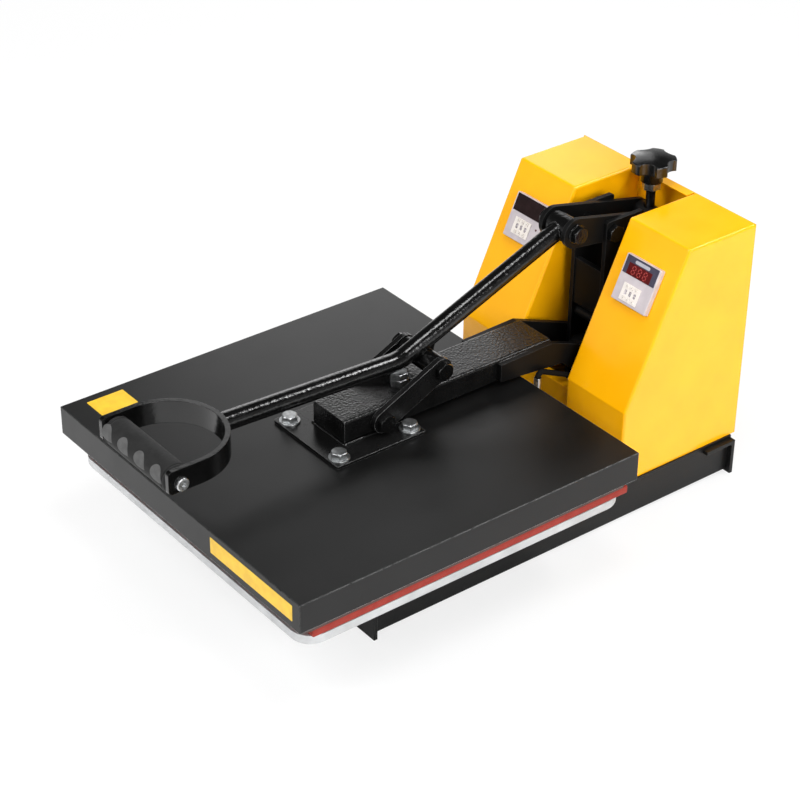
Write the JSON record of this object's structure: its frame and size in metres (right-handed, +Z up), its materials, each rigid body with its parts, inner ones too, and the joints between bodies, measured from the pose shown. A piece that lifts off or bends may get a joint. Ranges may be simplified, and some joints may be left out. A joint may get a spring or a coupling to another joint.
{
  "type": "heat press",
  "caption": "Flat clamshell heat press: square heated platen under a folded cover, toggle lever with loop handle, star knob pressure screw and yellow sheet-metal control housings.",
  "frame": {"origin": "middle of the whole footprint, on the bench under the base bars", "axes": "+X to the right of someone at the handle, +Y from the handle to the rear panel, +Z up"},
  "size_m": [0.4, 0.6498, 0.3188],
  "materials": {
    "black_paint": "satin black powder coat, finely wrinkled",
    "black_gloss": "gloss black powder coat",
    "cover_black": "smooth satin black powder coat",
    "yellow_paint": "gloss yellow powder coat",
    "zinc": "bright zinc plating",
    "bare_steel": "plain ground steel",
    "cast_aluminium": "as cast, lightly peened, pale grey",
    "hot_aluminium": "machined flat",
    "silicone": "matt red silicone foam",
    "blanket": "white ceramic fibre blanket",
    "element_sheath": "oxidised element sheath",
    "foam": "matt dark grey foam",
    "knob_plastic": "moulded black thermoset",
    "instrument_plastic": "light grey moulded",
    "window": "tinted smooth window",
    "key_plastic": "cream moulded",
    "switch_plastic": "black moulded",
    "lead_sleeve": "black braided sleeve"
  },
  "bodies": {
    "press_frame": {"front_bar": "black_paint", "rear_bar": "black_paint", "rail_left": "black_paint", "rail_right": "black_paint", "chassis_plate": "black_paint", "platen_bearers": "black_paint", "platen_bolts": "zinc", "lower_platen": "cast_aluminium", "silicone_pad": "silicone", "upright_left": "black_paint", "upright_right": "black_paint", "upright_ties": "black_paint", "screw_anvil": "black_paint", "main_axle": "black_gloss", "rocker_pivot_bolt": "black_gloss", "housing_left": "yellow_paint", "housing_right": "yellow_paint", "housing_sill": "yellow_paint", "rear_panel": "yellow_paint", "rear_panel_screws": "zinc", "controller_left": "instrument_plastic", "controller_right": "instrument_plastic", "display_windows": "window", "switch_frame": "switch_plastic", "mains_inlet": "switch_plastic", "lead_tail": "lead_sleeve"},
    "arm": {"arm_tube": "black_paint", "yoke_plates": "black_paint", "mounting_plate": "black_paint", "mounting_bolts": "zinc", "top_cover": "cover_black", "hot_plate": "hot_aluminium", "heating_element": "element_sheath", "insulation": "blanket", "lead_gland": "zinc", "heater_lead": "lead_sleeve"},
    "link": {"link_plates": "black_paint", "link_bolts": "black_gloss"},
    "rocker": {"rocker_plates": "black_paint", "lever_pin": "black_gloss"},
    "lever": {"lever": "black_gloss", "handle_loop": "black_gloss", "grip": "foam", "handle_screws": "zinc"},
    "screw_nut": {"barrel_nut": "bare_steel"},
    "pressure_screw": {"pressure_screw": "bare_steel", "star_knob": "knob_plastic"},
    "power_switch": {"switch_rocker": "switch_plastic"},
    "key_left_up_1": {"key_left_up_1": "key_plastic"},
    "key_left_up_2": {"key_left_up_2": "key_plastic"},
    "key_left_up_3": {"key_left_up_3": "key_plastic"},
    "key_left_down_1": {"key_left_down_1": "key_plastic"},
    "key_left_down_2": {"key_left_down_2": "key_plastic"},
    "key_left_down_3": {"key_left_down_3": "key_plastic"},
    "key_right_up_1": {"key_right_up_1": "key_plastic"},
    "key_right_up_2": {"key_right_up_2": "key_plastic"},
    "key_right_up_3": {"key_right_up_3": "key_plastic"},
    "key_right_down_1": {"key_right_down_1": "key_plastic"},
    "key_right_down_2": {"key_right_down_2": "key_plastic"},
    "key_right_down_3": {"key_right_down_3": "key_plastic"}
  },
  "joints": [
    {"name": "arm_hinge", "type": "hinge", "parent": "press_frame", "child": "arm", "pos_m": [0, 0.22786, 0.11], "axis": [-1, 0, 0], "range_deg": [0, 46]},
    {"name": "link_hinge", "type": "hinge", "parent": "arm", "child": "link", "pos_m": [0, -0.06514, 0.1559], "axis": [1, 0, 0], "range_deg": [0, 110.7]},
    {"name": "rocker_hinge", "type": "hinge", "parent": "press_frame", "child": "rocker", "pos_m": [0, 0.22615, 0.2648], "axis": [-1, 0, 0], "range_deg": [0, 1.18]},
    {"name": "lever_hinge", "type": "hinge", "parent": "rocker", "child": "lever", "pos_m": [0, 0.18116, 0.275], "axis": [-1, 0, 0], "range_deg": [0, 78.5]},
    {"name": "nut_hinge", "type": "hinge", "parent": "rocker", "child": "screw_nut", "pos_m": [0, 0.29925, 0.2534], "axis": [1, 0, 0], "range_deg": [0, 1.3]},
    {"name": "pressure_spin", "type": "hinge", "parent": "press_frame", "child": "pressure_screw", "pos_m": [0, 0.29925, 0.2824], "axis": [0, 0, 1], "range_deg": [0, 360]},
    {"name": "switch_tilt", "type": "hinge", "parent": "press_frame", "child": "power_switch", "pos_m": [0.08325, 0.31895, 0.092], "axis": [-1, 0, 0], "range_deg": [0, 18]},
    {"name": "key_left_up_1_press", "type": "slide", "parent": "press_frame", "child": "key_left_up_1", "axis": [0, 0.9106, -0.4132], "range_m": [0, 0.0007], "stiffness_N_per_m": 300, "springref_m": -0.0005},
    {"name": "key_left_up_2_press", "type": "slide", "parent": "press_frame", "child": "key_left_up_2", "axis": [0, 0.9106, -0.4132], "range_m": [0, 0.0007], "stiffness_N_per_m": 300, "springref_m": -0.0005},
    {"name": "key_left_up_3_press", "type": "slide", "parent": "press_frame", "child": "key_left_up_3", "axis": [0, 0.9106, -0.4132], "range_m": [0, 0.0007], "stiffness_N_per_m": 300, "springref_m": -0.0005},
    {"name": "key_left_down_1_press", "type": "slide", "parent": "press_frame", "child": "key_left_down_1", "axis": [0, 0.9106, -0.4132], "range_m": [0, 0.0007], "stiffness_N_per_m": 300, "springref_m": -0.0005},
    {"name": "key_left_down_2_press", "type": "slide", "parent": "press_frame", "child": "key_left_down_2", "axis": [0, 0.9106, -0.4132], "range_m": [0, 0.0007], "stiffness_N_per_m": 300, "springref_m": -0.0005},
    {"name": "key_left_down_3_press", "type": "slide", "parent": "press_frame", "child": "key_left_down_3", "axis": [0, 0.9106, -0.4132], "range_m": [0, 0.0007], "stiffness_N_per_m": 300, "springref_m": -0.0005},
    {"name": "key_right_up_1_press", "type": "slide", "parent": "press_frame", "child": "key_right_up_1", "axis": [0, 0.9106, -0.4132], "range_m": [0, 0.0007], "stiffness_N_per_m": 300, "springref_m": -0.0005},
    {"name": "key_right_up_2_press", "type": "slide", "parent": "press_frame", "child": "key_right_up_2", "axis": [0, 0.9106, -0.4132], "range_m": [0, 0.0007], "stiffness_N_per_m": 300, "springref_m": -0.0005},
    {"name": "key_right_up_3_press", "type": "slide", "parent": "press_frame", "child": "key_right_up_3", "axis": [0, 0.9106, -0.4132], "range_m": [0, 0.0007], "stiffness_N_per_m": 300, "springref_m": -0.0005},
    {"name": "key_right_down_1_press", "type": "slide", "parent": "press_frame", "child": "key_right_down_1", "axis": [0, 0.9106, -0.4132], "range_m": [0, 0.0007], "stiffness_N_per_m": 300, "springref_m": -0.0005},
    {"name": "key_right_down_2_press", "type": "slide", "parent": "press_frame", "child": "key_right_down_2", "axis": [0, 0.9106, -0.4132], "range_m": [0, 0.0007], "stiffness_N_per_m": 300, "springref_m": -0.0005},
    {"name": "key_right_down_3_press", "type": "slide", "parent": "press_frame", "child": "key_right_down_3", "axis": [0, 0.9106, -0.4132], "range_m": [0, 0.0007], "stiffness_N_per_m": 300, "springref_m": -0.0005}
  ],
  "couplings": [
    {"joint": "link_hinge", "follows": "arm_hinge", "ratio": 2.385},
    {"joint": "lever_hinge", "follows": "arm_hinge", "ratio": 1.685},
    {"joint": "pressure_spin", "follows": "rocker_hinge", "ratio": 306.2},
    {"joint": "nut_hinge", "follows": "rocker_hinge", "ratio": 1}
  ]
}
